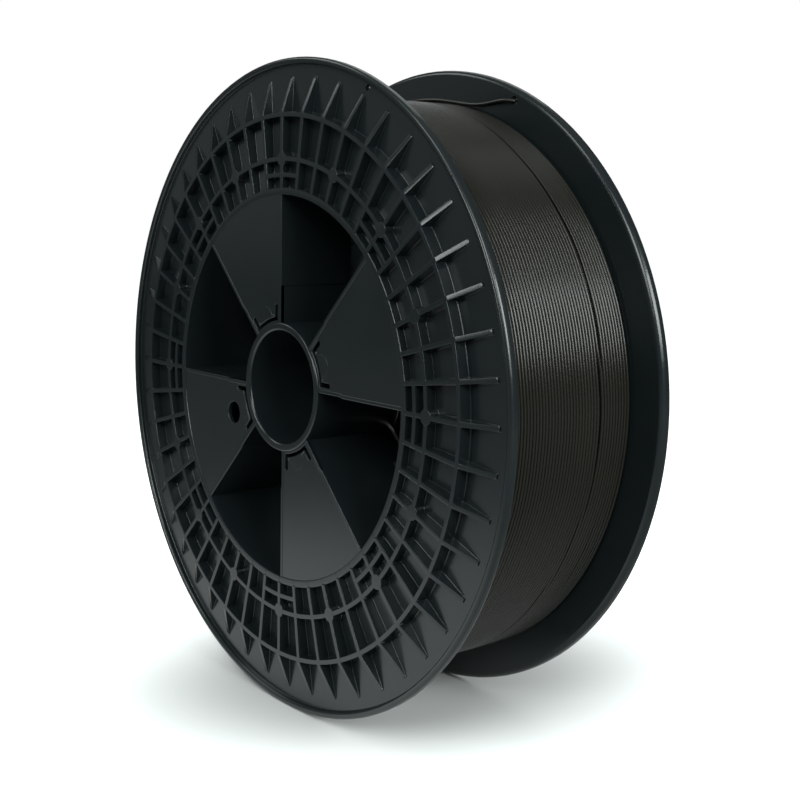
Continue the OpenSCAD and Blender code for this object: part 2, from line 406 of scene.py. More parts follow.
@dataclass(frozen=True)
class MouldedPolystyrene(Plastic):
    """Injection-moulded high-impact polystyrene in slate black.

    The steel of the mould leaves a satin skin: broad soft highlights, a fine even grain,
    and faint cloudy patches where the melt flowed.
    """

    name: str = "moulded_polystyrene_slate"
    colour: str = "#161c1e"
    patch_colour: str = "#1a2022"
    roughness: float = 0.22
    gloss_change: Pair = (-0.03, 0.04)
    ior: float = 1.52
    patch_mm: float = 35.0
    patch_detail: float = 3.0
    grain_mm: float = 0.5  # the real grain of 0.1 mm is too fine to show
    grain_depth_mm: float = 0.012
    grain_strength: float = 0.1

    def build(self) -> Material:
        """Makes the material, with the grain that the mould leaves.

        Returns:
            The material.
        """
        material = super().build()
        tree = material.node_tree
        where = {"Vector": add_node(tree, "ShaderNodeTexCoord").outputs["Object"]}
        form = {"Scale": 1 / (self.grain_mm * MM), "Detail": 2.0, "Roughness": 0.6}
        grain = add_node(tree, "ShaderNodeTexNoise", values=form, links=where)
        depth = {"Strength": self.grain_strength, "Distance": self.grain_depth_mm * MM}
        bump = add_node(tree, "ShaderNodeBump", values=depth, links={"Height": grain.outputs[0]})
        tree.links.new(bump.outputs[0], tree.nodes["Principled BSDF"].inputs["Normal"])
        return material


@dataclass(frozen=True)
class ExtrudedFilament(Plastic):
    """Extruded thermoplastic monofilament in warm charcoal.

    Drawn through a round die and cooled in water, so it is smooth and satin, with slow
    changes of tone and gloss from turn to turn.
    """

    name: str = "extruded_filament_charcoal"
    colour: str = "#191915"
    patch_colour: str = "#201f1a"
    roughness: float = 0.25
    gloss_change: Pair = (-0.04, 0.05)
    ior: float = 1.46
    patch_mm: float = 9.0
    patch_detail: float = 4.0
    patch_fineness: float = 0.65
    patch_stretch: Triple = (0.15, 1.0, 0.15)  # drawn out round the spool


# ---- the ribbed flange ----


@dataclass
class RibbedFlange:
    """The flange with its ribs, rings, gussets, rim bead, and the drum behind it."""

    face_h: float = 48.95
    inner_h: float = 40.0
    rim_r: float = 150.0
    drum_r: float = 91.0
    drum_in_r: float = 88.2
    mouth_in_r: float = 88.0
    mouth_top_h: float = 48.7
    mouth_out_r: float = 91.3
    floor_h_drum: float = 45.2
    floor_h_rim: float = 42.7
    bead_foot_r: float = 146.3
    bead_top_h: float = 45.4
    bead_round: float = 1.4
    back_round: float = 2.7
    rib_count: int = 48
    rib_flat: float = 0.85
    top_round: float = 0.19
    draft: float = 0.045
    foot_round: float = 0.32
    outer_foot_round: float = 0.5
    short_ring_r: float = 97.0
    middle_ring_r: float = 104.2
    outer_ring_r: float = 124.2
    rib_start_r: float = 90.6
    rib_end_round: float = 1.25
    gusset_tip_r: float = 141.4
    gusset_tip_h: float = 0.6
    seam_h: float = 0.05
    seam_edge: float = 0.3
    neck_h: Pair = (42.6, 44.7)
    back_r: tuple[float, ...] = (142.0, 120.0)
    plain_r: tuple[float, ...] = (93.4, 100.6, 109.0, 114.2, 119.4, 130.5, 134.0, 137.6)
    hole_reach: float = 144.5
    hole_r: float = 1.25
    hole_clear: float = 3.2
    hole_sides: int = 24
    boss_count: int = 16
    boss_r: float = 3.3
    boss_edge: float = 0.2
    boss_top_h: float = 49.0

    def floor_h(self, r: np.ndarray | float) -> np.ndarray | float:
        """Gives the height of the flange's outer face at a radius."""
        fall = (self.floor_h_rim - self.floor_h_drum) / (self.bead_foot_r - self.drum_r)
        return self.floor_h_drum + fall * (r - self.drum_r)

    def across(self, top: float, base: float, foot: float) -> list[Pair]:
        """Gives half the section of a rib or ring, from its middle to the floor.

        Args:
            top: Height of its top.
            base: Height of the floor beside it.
            foot: Radius of the fillet at its foot.

        Returns:
            Eight points (distance from the middle, height).
        """
        depth = max(top - base, 0.0)
        round_h, foot_h = min(self.top_round, 0.4 * depth), min(foot, 0.5 * depth)
        edge = self.rib_flat + self.top_round
        wall = edge + max(self.draft * (depth - round_h - foot_h), 0.03)
        foot_w = max(foot_h, 0.1)
        high = max(top, base)
        half = math.sqrt(0.5)
        section = [(0.0, high), (self.rib_flat, high)]
        section.append((self.rib_flat + half * self.top_round, high - (1 - half) * round_h))
        section.append((edge, high - round_h))
        for a in BEND:
            section.append((wall + foot_w * (1 - math.cos(a)), base + foot_h * (1 - math.sin(a))))
        return section

    def ring_rows(self, reach: float, foot_in: float, foot_out: float) -> list[Pair]:
        """Gives the rows (r, h) over a ring, from its inner foot to its outer one.

        Args:
            reach: Radius of the ring's middle.
            foot_in: Radius of the fillet at its inner foot.
            foot_out: Radius of the fillet at its outer foot.

        Returns:
            The rows, outwards.
        """
        rows = []
        for side, foot in ((-1, foot_in), (1, foot_out)):
            base = self.floor_h(reach)
            half = self.across(self.face_h, base, foot)
            for n, (s, h) in enumerate(half):
                r = reach + side * s
                rows.append((r, h if n < 4 else h - base + self.floor_h(r)))
        return sorted(rows[1:])

    def field_rows(self) -> list[Triple]:
        """Gives the rows of the outer face.

        Returns:
            Rows (r, height in a plain cell, height in a cell with a short ring).
        """
        rows = [(r, h, h) for r, h in self.mouth_rows()]
        for reach, foot_out in (
            (self.short_ring_r, self.foot_round),
            (self.middle_ring_r, self.foot_round),
            (self.outer_ring_r, self.outer_foot_round),
        ):
            for r, h in self.ring_rows(reach, self.foot_round, foot_out):
                rows.append((r, self.floor_h(r) if reach == self.short_ring_r else h, h))
        tip = self.gusset_tip_r
        plain = [tip + past for past in (-0.9, -0.35, 0, 0.2, 0.6, 1.0)]
        plain += [*self.plain_r, self.bead_foot_r - 0.03]
        rows += [(r, self.floor_h(r), self.floor_h(r)) for r in plain]
        return sorted(rows)

    def mouth_rows(self) -> list[Pair]:
        """Gives the rows (r, h) over the ring at the drum's mouth.

        Returns:
            The rows, outwards.
        """
        top, inner, outer = self.mouth_top_h, self.mouth_in_r, self.mouth_out_r
        rows = [(inner, top - 0.5), (inner + 0.13, top - 0.16), (inner + 0.45, top)]
        rows += [(self.rib_start_r + past, top) for past in (-0.3, -0.05, 0.15)]
        rows += [(outer - 0.38, top), (outer - 0.12, top - 0.11), (outer, top - 0.38)]
        foot = self.foot_round
        wall_r = outer + 0.15
        for a in BEND:
            r = wall_r + foot * (1 - math.cos(a))
            rows.append((r, self.floor_h(r) + foot * (1 - math.sin(a))))
        return rows

    def rib_top(self, r: float) -> float:
        """Gives the height of a rib's top, or of a gusset's, at a radius.

        Args:
            r: The radius.

        Returns:
            The height, below the floor where neither is.
        """
        knee = self.outer_ring_r + self.rib_flat + self.top_round + 0.6
        tip, tip_floor = self.gusset_tip_r, self.floor_h(self.gusset_tip_r)
        reach = [self.rib_start_r - 0.3, self.rib_start_r, self.rib_start_r + 0.25, knee]
        height = [self.mouth_top_h - 0.4, self.mouth_top_h + 0.08, self.face_h, self.face_h]
        reach += [tip - 0.35, tip, tip + 0.2, tip + 0.6, self.rim_r]
        height += [tip_floor + self.gusset_tip_h, tip_floor + 0.9 * self.gusset_tip_h]
        height += [tip_floor - 0.05, tip_floor - 0.1, tip_floor - 2]
        return float(np.interp(r, reach, height))

    def rib_width_share(self, r: float) -> float:
        """Gives a rib's width at a radius as a share of its full width: its end is round."""
        away = (self.rib_start_r + self.rib_end_round - r) / self.rib_end_round
        return max(math.sqrt(max(1 - away * away, 0)), 0.2) if away > 0 else 1.0

    def cell_row(self, r: float, base: float) -> tuple[list[float], list[float]]:
        """Gives one row of one cell, from a rib's middle to just before the next one's.

        Args:
            r: Radius of the row.
            base: Height of the row between the ribs.

        Returns:
            Angles in degrees from the first rib's middle, and heights.
        """
        share = self.rib_width_share(r)
        half = self.across(self.rib_top(r), base, self.foot_round)
        step = 360 / self.rib_count
        near = [math.degrees(math.asin(s * share / r)) for s, _ in half]
        height = [h for _, h in half]
        middle = [near[-1] + (step - 2 * near[-1]) * k / 3 for k in (1, 2)]
        angles = near + middle + [step - a for a in reversed(near[1:])]
        return angles, height + [height[-1]] * 2 + list(reversed(height[1:]))

    def has_short_ring(self, cell: int) -> bool:
        """Tells whether a cell, counted from the +x side, has a short ring across it."""
        return cell % (self.rib_count // 8) in (0, self.rib_count // 8 - 1)

    def closing_rows(self) -> list[Pair]:
        """Gives the rows (r, h) from the bead round the back to the drum's mouth.

        Returns:
            The rows, on from the outer face's last one.
        """
        foot, top = self.bead_foot_r, self.bead_top_h
        front = self.rim_r - self.bead_round
        inner = front - 0.4
        rows = [(foot + 0.25, self.floor_h_rim + 0.12), (foot + 0.43, self.floor_h_rim + 0.36)]
        rows += arc((inner, top - self.bead_round), self.bead_round, 180, 90, 4)
        rows += arc((front, top - self.bead_round), self.bead_round, 90, 0, 4)
        back = (self.rim_r - self.back_round, self.inner_h + self.back_round)
        rows += arc(back, self.back_round, 0, -90, 6)
        rows += [(r, self.inner_h) for r in (*self.back_r, self.drum_r)]
        outside, inside, seam, edge = self.drum_r, self.drum_in_r, self.seam_h, self.seam_edge
        rows += [(outside, seam + edge), (outside - edge, seam)]
        rows += [(inside + edge, seam), (inside, seam + edge)]
        rows += [(inside, self.inner_h / 2), (inside, self.neck_h[0])]
        rows += [(self.mouth_in_r, self.neck_h[1]), (self.mouth_in_r, self.mouth_top_h - 1.6)]
        return rows

    def build(self, hole_a: float) -> list[Shell]:
        """Makes the flange and the bosses.

        Args:
            hole_a: Angle in degrees of the hole for the filament's end.

        Returns:
            The shells.
        """
        step = 360 / self.rib_count
        field_rows = self.field_rows()
        angles, heights = [], []
        for r, *bases in field_rows:
            plain_or_ring = [self.cell_row(r, base) for base in bases]
            row_a, row_h = [], []
            for cell in range(self.rib_count):
                a, h = plain_or_ring[self.has_short_ring(cell)]
                row_a += [cell * step + x for x in a]
                row_h += h
            angles.append(row_a)
            heights.append(row_h)
        radii = [row[0] for row in field_rows]
        for r, h in self.closing_rows():
            radii.append(r)
            angles.append(angles[0 if r < self.drum_r + 1 else len(field_rows) - 1])
            heights.append([h] * len(angles[0]))
        a, h, r = np.radians(angles), np.array(heights), np.array(radii)[:, None]
        points = np.stack([r * np.cos(a), r * np.sin(a), h], -1)
        return [self.pierced(points, hole_a, len(field_rows)), *self.bosses()]

    def pierced(self, points: np.ndarray, hole_a: float, field_count: int) -> Shell:
        """Closes the flange's surface, with the hole for the filament's end through it.

        Args:
            points: The surface's points, by row and column.
            hole_a: Angle of the hole in degrees.
            field_count: Number of rows of the outer face.

        Returns:
            The pierced shell.
        """
        rows, columns, _ = points.shape
        radii = np.hypot(points[:, 0, 0], points[:, 0, 1])
        flat, grid = points.reshape(-1, 3), np.arange(rows * columns).reshape(rows, columns)
        turn = math.radians(hole_a)
        centre = self.hole_reach * np.array([math.cos(turn), math.sin(turn)])
        rim = points[field_count - 1]
        column_a = np.degrees(np.arctan2(rim[:, 1], rim[:, 0])) % 360
        clear_a = math.degrees(self.hole_clear / self.hole_reach)
        first = int(np.argmax(column_a > hole_a - clear_a)) - 1
        last = int(np.argmax(column_a > hole_a + clear_a))
        # Outer face: between the gussets' tips and the bead. Inner face: one wide band.
        past_tips = abs(radii[:field_count] - self.gusset_tip_r - 1.0)
        outer = (int(np.argmin(past_tips)), field_count - 1)
        level = abs(points[field_count:, 0, 2] - self.inner_h) < 0.01
        inner_row = field_count + int(np.argmax(level))
        inner = (inner_row, inner_row + 1)
        sides = self.hole_sides
        circle = np.arange(sides) * 2 * math.pi / sides
        unit = np.stack([np.cos(circle), np.sin(circle)], 1)
        extra, more, start, removed, mouths = [], [], len(flat), set(), []
        for (low, high), up, wider in ((outer, True, 0.2), (inner, False, 1.1)):
            block = grid[low : high + 1, first : last + 1]
            removed.update(block[:-1, :-1].flat)
            edges = (block[0, :-1], block[:-1, -1], block[-1, :0:-1], block[:0:-1, 0])
            around = np.concatenate(edges).tolist()
            ring = centre + unit * (self.hole_r + wider)
            ring_h = self.floor_h(np.hypot(*ring.T)) if up else np.full(sides, self.inner_h)
            mouths.append(range(start, start + sides))
            extra.append(np.column_stack([ring, ring_h]))
            numbers = around + list(mouths[-1])
            for face in cap([flat[around][:, :2], ring]):
                picked = tuple(numbers[n] for n in face)
                more.append(picked if up else picked[::-1])
            start += sides
        top_h, r = self.floor_h(self.hole_reach), self.hole_r
        levels = ((r + 0.08, top_h - 0.16), (r, top_h - 0.45), (r, self.inner_h + 1.1))
        chain = [mouths[0]]
        for radius, height in levels:
            extra.append(np.column_stack([centre + unit * radius, np.full(sides, height)]))
            chain.append(range(start, start + sides))
            start += sides
        chain.append(mouths[1])
        for above, below in zip(chain, chain[1:]):
            for n in range(sides):
                beside = (n + 1) % sides
                more.append((above[n], below[n], below[beside], above[beside]))
        faces = enumerate(grid_faces(rows, columns, True))
        kept = [face for number, face in faces if number not in removed]
        return Shell(np.concatenate([flat] + extra), kept + more)

    def bosses(self) -> list[Shell]:
        """Makes the round ejector bosses on the middle ring.

        Returns:
            One shell for each.
        """
        top, r, edge, fillet = self.boss_top_h, self.boss_r, self.boss_edge, self.foot_round
        base = self.floor_h(self.middle_ring_r)
        foot_r = r + 0.08 + fillet
        profile = [(0.01, top), (r - edge, top)] + arc((r - edge, top - edge), edge, 60, 0, 2)
        profile += arc((foot_r, base + fillet), fillet, 180, 270, 4)
        profile += [(foot_r, base - 0.5), (0.01, base - 0.5)]
        fall = self.floor_h(1.0) - self.floor_h(0.0)
        made = []
        for k in range(self.boss_count):
            boss = lathe(profile, 28)
            low = boss.points[:, 2] < top - 1
            boss.points[low, 2] += fall * boss.points[low, 0]
            boss.points[:, 0] += self.middle_ring_r
            made.append(boss.turned(360 / self.boss_count * k))
        return made


# ---- hub, sectors and latches ----


@dataclass
class HubAndSectors:
    """The hub tube, the four closed sectors with their walls, and the snap latches."""

    bore_r: float = 26.0
    hub_r: float = 29.6
    hub_steps: int = 128
    face_h: float = 49.0
    outer_round: float = 0.8
    lead_in: float = 1.3
    seam_h: float = 0.05
    plate_top_h: float = 48.3
    plate_t: float = 2.2
    plate_edge: float = 0.35
    plate_inset: float = 0.8
    sector_a: float = 45.0
    sector_in_r: float = 27.8
    rail_t: float = 1.8
    rail_h: float = 48.5
    lap: float = 0.04  # keeps overlapping shells from sharing a face
    step_r: float = 46.5
    outer_inset: float = 0.3
    outer_wall_t: float = 1.6
    inner_wall_t: float = 2.1
    window_h: float = 8.8
    tab_h: float = 1.4
    tab_w: float = 1.6
    tab_radii: tuple[float, ...] = (53.6, 65.2)
    mouth_r: float = 88.0
    drive_hole_r: float = 5.25
    drive_hole_reach: float = 44.5
    hole_sides: int = 48
    slot_in_r: float = 30.7
    slot_out_r: float = 32.2
    leg_inset: float = 4.55
    leg_w: float = 2.2
    leg_in_r: float = 34.0
    leg_out_r: float = 38.1
    pin_mark_r: float = 5.0
    pin_mark_reach: float = 34.0
    nub_reach: float = 33.1
    nub_a: float = 11.0
    arm_half_a: float = 10.0
    arm_in_r: float = 32.8
    arm_t: float = 2.2
    hook_low_h: float = -6.1
    hook_h: float = 3.4
    ledge_t: float = 2.1
    ledge_h: float = 2.4

    def hub(self) -> Shell:
        """Makes the hub tube with its rounded lead-in.

        Returns:
            The shell.
        """
        outer, lead, top = self.outer_round, self.lead_in, self.face_h
        profile = arc((self.bore_r + lead, top - lead), lead, 180, 90, 6)
        profile += arc((self.hub_r - outer, top - outer), outer, 90, 0, 4)
        profile += [(self.hub_r, self.seam_h + 0.2), (self.hub_r - 0.2, self.seam_h)]
        profile += [(self.bore_r + 0.25, self.seam_h), (self.bore_r, self.seam_h + 0.25)]
        return lathe(profile, self.hub_steps)

    def edge_angle(self, r: float, inset: float) -> float:
        """Gives the angle in degrees between a line parallel to a sector's edge and that edge."""
        return math.degrees(math.asin(inset / r))

    def at(self, r: float, degrees: float) -> Pair:
        """Gives the point at a radius and an angle."""
        return (r * math.cos(math.radians(degrees)), r * math.sin(math.radians(degrees)))

    def latch_slot(self) -> list[Pair]:
        """Gives the outline of the slots that free one tongue, about the sector's middle.

        Returns:
            Points (x, y), counter-clockwise.
        """
        mid, leg_in, leg_out = self.sector_a / 2, self.leg_in_r, self.leg_out_r
        near, far = self.leg_inset - self.leg_w / 2, self.leg_inset + self.leg_w / 2
        half_in = mid - self.edge_angle(self.slot_in_r, near)
        half_out = mid - self.edge_angle(self.slot_out_r, far)
        half = [(self.slot_in_r, half_in * k / 8) for k in range(9)]
        leg = [(leg_in, near), (leg_out - 0.5, near), (leg_out, near + 0.45)]
        leg += [(leg_out, far - 0.45), (leg_out - 0.5, far), (leg_in, far)]
        half += [(r, mid - self.edge_angle(r, inset)) for r, inset in leg]
        half += [(self.slot_out_r, half_out * (1 - k / 8)) for k in range(9)]
        other = [(r, -a) for r, a in reversed(half[1:-1])]
        return [self.at(r, mid + a) for r, a in reversed(half + other)]

    def plate(self, with_drive_hole: bool) -> list[Shell]:
        """Makes a closed sector's plate with the nubs and the pin mark on its tongue.

        Args:
            with_drive_hole: Whether the drive hole goes through it.

        Returns:
            The plate, the mark and the nubs.
        """
        low_r, high_r = self.sector_in_r, self.mouth_r + 1.0
        cut_low = self.edge_angle(low_r, self.plate_inset)
        cut_high = self.edge_angle(high_r, self.plate_inset)
        outline = arc((0, 0), high_r, cut_high, self.sector_a - cut_high, 24)
        outline += arc((0, 0), low_r, self.sector_a - cut_low, cut_low, 12)
        holes = [self.latch_slot()]
        mid = self.sector_a / 2
        if with_drive_hole:
            centre = self.at(self.drive_hole_reach, mid)
            holes.append(arc(centre, self.drive_hole_r, 0, 360, self.hole_sides)[:-1])
        top = self.plate_top_h
        made = [prism(outline, top - self.plate_t, top, self.plate_edge, holes)]
        made.append(prism(self.pin_mark(), top - 1, top + 0.1, 0.12).turned(mid))
        for side in (-1, 1):
            dome = [(0.01, top + 0.4)] + arc((0.25, top - 0.1), 0.5, 75, 0, 4)
            nub = lathe(dome + [(0.75, top - 1), (0.01, top - 1)], 14)
            nub.points[:, 0] += self.nub_reach
            made.append(nub.turned(mid + side * self.nub_a))
        return made

    def pin_mark(self) -> list[Pair]:
        """Gives the outline of the ejector pin's mark, cut off by the tongue's end.

        Returns:
            Points (x, y), counter-clockwise.
        """
        end, r, reach = self.slot_out_r + 0.3, self.pin_mark_r, self.pin_mark_reach
        # Where the pin's circle meets the circle of the tongue's end
        x = (end**2 + reach**2 - r**2) / (2 * reach)
        from_pin = math.degrees(math.acos((x - reach) / r))
        from_axis = math.degrees(math.acos(x / end))
        outline = arc((reach, 0), r, -from_pin, from_pin, 40)
        return outline + arc((0, 0), end, from_axis, -from_axis, 8)[1:-1]

    def edge_pieces(self) -> list[Shell]:
        """Makes the rail and the two walls along one edge of a sector.

        Returns:
            The shells.
        """
        outer, inner = self.outer_inset, self.plate_inset
        start, end, step = self.sector_in_r, self.mouth_r + 1.4, self.step_r
        rail = [(start, inner), (step, inner), (step + 0.4, outer), (end, outer)]
        rail += [(end, outer + self.rail_t), (step + 0.5, outer + self.rail_t)]
        rail += [(step, inner + self.rail_t), (start, inner + self.rail_t)]
        made = [prism(rail, self.plate_top_h - 3.4, self.rail_h, 0.4)]
        top = self.plate_top_h - 0.8
        outline = [(step, top), (step, self.window_h)]
        high, low = self.window_h, self.window_h - self.tab_h
        for r in self.tab_radii:
            near, far = r - self.tab_w / 2, r + self.tab_w / 2
            outline += [(near, high), (near, low), (far, low), (far, high)]
        outline += [(end, high), (end, top)]
        made.append(self.upright(outline, outer + self.lap, outer + self.outer_wall_t))
        foot = [(start, top), (start, self.seam_h), (step + 0.5, self.seam_h), (step + 0.5, top)]
        made.append(self.upright(foot, inner + self.lap, inner + self.inner_wall_t))
        return made

    def upright(self, outline: list, near: float, far: float) -> Shell:
        """Makes a wall over an outline (r, h), between two distances from a sector's edge.

        Args:
            outline: The wall's outline.
            near: Distance of its outer face from the edge.
            far: Distance of its inner face.

        Returns:
            The shell.
        """
        flat = prism(outline, -far, -near, 0.22)
        x, h, depth = flat.points.T
        return Shell(np.column_stack([x, -depth, h]), flat.faces)

    def latch(self) -> list[Shell]:
        """Makes one snap arm with its hook, and the ledge that takes the other moulding's.

        Returns:
            The arm and the ledge.
        """
        mid, half = self.sector_a / 2, self.arm_half_a
        top, low = self.plate_top_h - self.plate_t / 2, self.hook_low_h
        near, far, hook_top = self.arm_in_r, self.arm_in_r + self.arm_t, low + self.hook_h
        arm = [(near, top), (far, top), (far, low + 0.3), (far - 0.3, low), (near, low)]
        arm += [(self.hub_r + 0.5, hook_top - 1), (self.hub_r + 0.5, hook_top), (near, hook_top)]
        root, end, top = self.hub_r - 1, self.hub_r + self.ledge_t, self.ledge_h
        ledge = [(root, top), (end - 0.2, top), (end, top - 0.2), (end, 0.3), (root, 0.3)]
        return [
            arc_sweep(arm, mid - half, mid + half, 12),
            arc_sweep(ledge, -mid - half + 1, -mid + half - 1, 12),
        ]

    def build(self) -> list[Shell]:
        """Makes the hub and all four sectors.

        Returns:
            The shells.
        """
        made = [self.hub()]
        for k in range(4):
            pieces = self.plate(with_drive_hole=k == 2)
            for piece in self.edge_pieces():
                pieces += [piece, piece.mirrored(self.sector_a / 2)]
            pieces += self.latch()
            made += [piece.turned(90 * k) for piece in pieces]
        return made


@dataclass
class SpoolMoulding:
    """One of the two identical mouldings."""

    name: str
    side: Side
    node: str
    hole_a: float
    flange: RibbedFlange = field(default_factory=RibbedFlange)
    hub: HubAndSectors = field(default_factory=HubAndSectors)

    def build(self, finish: Material) -> Object:
        """Makes the moulding in its finish and puts it in place of its node.

        Args:
            finish: Its material.

        Returns:
            The piece.
        """
        shells = self.flange.build(self.hole_a) + self.hub.build()
        piece = make_object(self.name, shells, self.side.value, 34)
        piece.data.materials.append(finish)
        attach(piece, "root")
        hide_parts(self.node)
        return piece


# ---- the filament ----


@dataclass
class WoundFilament:
    """The winding: its top layer as one long helix, over a ridged core."""

    filament_d: float = 1.75
    shown_r: float = 0.82  # a little under the real radius, so that the gaps show dark
    outer_r: float = 134.0
    inner_r: float = 91.3
    half_w: float = 39.6
    turns: int = 44
    pitch: float = 1.735
    steps: int = 144
    sides: int = 8
    last_a: float = 109.03
    climb_a: float = 50.0
    seam_a: float = 109.0  # where the groove's course starts and ends
    gap: float = 1.1
    splits: tuple[float, ...] = (0, 6.2, 9.3)  # turns from the groove to where it divides
    split_a: tuple[Pair, Pair] = ((-33, 12), (-15, 9))  # where it divides, and how widely
    split_share: float = 0.45
    merge: float = 0.9
    sway: Pair = (0.36, 0.12)
    uneven: float = 0.05
    start_sink: float = 1.5  # the first turn comes up from the layer below
    end_at: Triple = (-44.0, 37.6, 127.6)  # where the free end leaves
    core_under: float = 1.6
    core_shoulder: float = 1.2

    def groove_index(self, degrees: np.ndarray) -> np.ndarray:
        """Gives the turn after which the groove between two blocks lies, at an angle.

        Args:
            degrees: Angles from under the seam up to it.

        Returns:
            How many turns lie before the groove, at each angle.
        """
        at = [self.seam_a - 360, -200, -196, -120, -116, -38, -34, -22, -18, 7, 11, self.seam_a]
        index = [33, 33, 32, 32, 31, 31, 32, 32, 33, 33, 34, 34]
        return np.interp(degrees, at, index)

    def lay(self, turn: np.ndarray) -> tuple[np.ndarray, np.ndarray, np.ndarray]:
        """Gives the route of the top layer.

        Args:
            turn: How many turns lie before each point.

        Returns:
            Angle in degrees, place across the width, and radius.
        """
        total = self.turns + self.climb_a / 360
        degrees = self.last_a + 360 * (total - turn)
        seen = (degrees - self.seam_a + 360) % 360 + self.seam_a - 360  # up to the seam
        share = (self.seam_a - seen) / 360
        whole = np.minimum(turn, self.turns)
        across = -self.half_w + self.filament_d / 2 + self.pitch * whole
        # The groove opens between two turns and wanders from block to block
        phase = (self.climb_a / 360 + share) % 1.0
        groove = self.groove_index(seen) + phase + 0.5
        beyond, second, third = (
            np.clip((whole - groove - later) / self.merge + 0.5, 0, 1) for later in self.splits
        )
        split, other = (
            self.split_share * np.exp(-(((seen - middle) / width) ** 2))
            for middle, width in self.split_a
        )
        across += self.gap * ((1 - split - other) * beyond + split * second + other * third)
        # The turns sway a little together, least beside the flanges
        slow, quick = np.cos(np.radians(9 * (seen - 30))), np.cos(np.radians(23 * seen))
        sway = self.sway[0] * slow + self.sway[1] * quick
        across += sway * np.clip(1 - (across / self.half_w) ** 4, 0, 1)
        radius = np.full(len(turn), self.outer_r - self.filament_d / 2)
        radius += self.uneven * np.sin(0.7 * turn * 2 * math.pi) * np.sin(turn * 1.9)
        radius -= self.start_sink * np.clip(1 - turn * 12, 0, 1)
        climb = np.clip((turn - self.turns) / (total - self.turns), 0, 1)
        ease = climb * climb * (3 - 2 * climb)
        top_r = math.hypot(self.end_at[0], self.end_at[2])
        across = across * (1 - ease) + self.end_at[1] * ease
        radius = radius * (1 - ease) + top_r * ease
        return degrees, across, radius

    def top_layer(self) -> Shell:
        """Makes the top layer's tube.

        Returns:
            The shell.
        """
        total = self.turns + self.climb_a / 360
        turn = np.linspace(0, total, int(total * self.steps))
        degrees, across, radius = self.lay(turn)
        a = np.radians(degrees)
        path = np.stack([radius * np.cos(a), across, radius * np.sin(a)], 1)
        outward = np.stack([np.cos(a), 0 * a, np.sin(a)], 1)
        return tube_along(path, self.shown_r, self.sides, outward)

    def core(self) -> Shell:
        """Makes the layers below as one ridged ring.

        Returns:
            The shell.
        """
        crest, end, shoulder = self.outer_r - self.core_under, self.half_w, self.core_shoulder
        count = self.turns + 1
        pitch = 2 * (end - 0.2) / count
        profile = []
        for k in range(count):
            low = -end + 0.2 + k * pitch
            for share, sink in ((0, 0.5), (0.25, 0.1), (0.5, 0.0), (0.75, 0.1)):
                profile.append((crest - sink, low + share * pitch))
        profile += [(crest - 0.5, end - 0.2), (crest - shoulder, end)]
        profile += [(self.inner_r, end), (self.inner_r, -end), (crest - shoulder, -end)]
        ring = lathe(profile[::-1], 120)
        x, z, y = ring.points.T
        return Shell(np.column_stack([x, y, z]), ring.faces)

    def build(self, finish: Material) -> Object:
        """Makes the winding in its finish and puts it in place of its node.

        Args:
            finish: Its material.

        Returns:
            The piece.
        """
        piece = make_object("wound_filament", [self.top_layer(), self.core()], np.eye(3), 50)
        piece.data.materials.append(finish)
        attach(piece, "root")
        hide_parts("filament_winding")
        return piece


@dataclass
class FreeEnd:
    """The filament's free end, over the winding and through the rear rim's hole."""

    diameter: float = 0.00175
    # The same route as the solid's, in metres
    route: tuple = (
        (-0.0440, 0.0376, 0.1276), (-0.0370, 0.0378, 0.1300), (-0.0300, 0.0380, 0.1322),
        (-0.0230, 0.0380, 0.1340), (-0.0160, 0.0380, 0.1353), (-0.0090, 0.0380, 0.1358),
        (-0.0020, 0.0380, 0.1358), (0.0050, 0.0381, 0.1354), (0.0120, 0.0382, 0.1346),
        (0.0190, 0.0383, 0.1336), (0.0255, 0.0384, 0.1326), (0.0315, 0.0385, 0.1319),
        (0.0375, 0.0386, 0.1317), (0.0435, 0.0386, 0.1321), (0.0490, 0.0386, 0.1326),
        (0.0526, 0.0386, 0.13275), (0.0554, 0.03885, 0.1326), (0.0572, 0.0395, 0.13245),
        (0.0580, 0.0406, 0.13235), (0.05815, 0.0418, 0.1323),
    )
    steps: int = 4

    def centre_line(self) -> list[Vector]:
        """Gives the smooth line through the route's points.

        Returns:
            Its points, in metres.
        """
        points = [Vector(p) for p in self.route]
        line = []
        for i in range(len(points) - 1):
            a, b = points[max(i - 1, 0)], points[i]
            c, d = points[i + 1], points[min(i + 2, len(points) - 1)]
            for s in range(self.steps):
                u = s / self.steps
                square, cube = 2 * a - 5 * b + 4 * c - d, 3 * b - a - 3 * c + d
                line.append(0.5 * (2 * b + (c - a) * u + square * u**2 + cube * u**3))
        return line + [points[-1]]

    def build(self, finish: Material) -> Object:
        """Args:
            finish: Its material.

        Returns:
            The piece.
        """
        line = self.centre_line()
        curve = bpy.data.curves.new("free_end", "CURVE")
        curve.dimensions = "3D"
        curve.bevel_depth = self.diameter / 2
        curve.bevel_resolution = 4
        curve.use_fill_caps = True
        spline = curve.splines.new("POLY")
        spline.points.add(len(line) - 1)
        for point, place in zip(spline.points, line):
            point.co = (*place, 1.0)
        spline.use_smooth = True
        curve.materials.append(finish)
        piece = bpy.data.objects.new("free_end", curve)
        bpy.context.scene.collection.objects.link(piece)
        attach(piece, "root")
        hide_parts("filament_tail")
        return piece


# ---- camera, floor and light ----


